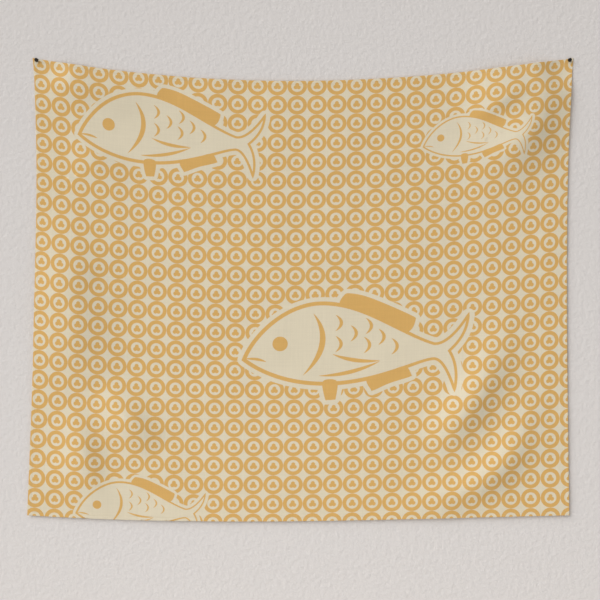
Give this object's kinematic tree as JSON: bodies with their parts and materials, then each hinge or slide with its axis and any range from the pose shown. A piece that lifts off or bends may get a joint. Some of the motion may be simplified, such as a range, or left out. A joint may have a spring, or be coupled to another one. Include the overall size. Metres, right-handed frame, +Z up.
{
  "type": "wall tapestry",
  "caption": "Printed rectangular cloth wall tapestry with sewn hems, draped from a push pin at each top corner.",
  "frame": {"origin": "on the wall's face, midway between the two push pins and level with them", "axes": "+X to the right along the wall, +Y into the wall, +Z up; the room is towards -Y"},
  "size_m": [1.5375, 0.0458, 1.3043],
  "materials": {
    "printed_cloth": "matt plain-weave polyester, ochre print on pale beige",
    "hem_cloth": "the printed face of the same cloth, turned over to the back",
    "sewing_thread": "spun polyester thread",
    "pin_plastic": "moulded black plastic, glossy",
    "pin_steel": "bright drawn steel"
  },
  "bodies": {
    "cloth": {"cloth_panel": "printed_cloth", "hem_top": "hem_cloth", "hem_bottom": "hem_cloth", "hem_left": "hem_cloth", "hem_right": "hem_cloth", "face_thread_top": "sewing_thread", "face_thread_bottom": "sewing_thread", "face_thread_left": "sewing_thread", "face_thread_right": "sewing_thread", "back_thread_top": "sewing_thread", "back_thread_bottom": "sewing_thread", "back_thread_left": "sewing_thread", "back_thread_right": "sewing_thread"},
    "left_pin": {"left_pin_head": "pin_plastic", "left_pin_needle": "pin_steel"},
    "right_pin": {"right_pin_head": "pin_plastic", "right_pin_needle": "pin_steel"}
  },
  "joints": [
    {"name": "left_pin_pull", "type": "slide", "parent": "cloth", "child": "left_pin", "axis": [0, -1, 0], "range_m": [0, 0.0105]},
    {"name": "right_pin_pull", "type": "slide", "parent": "cloth", "child": "right_pin", "axis": [0, -1, 0], "range_m": [0, 0.0105]}
  ]
}
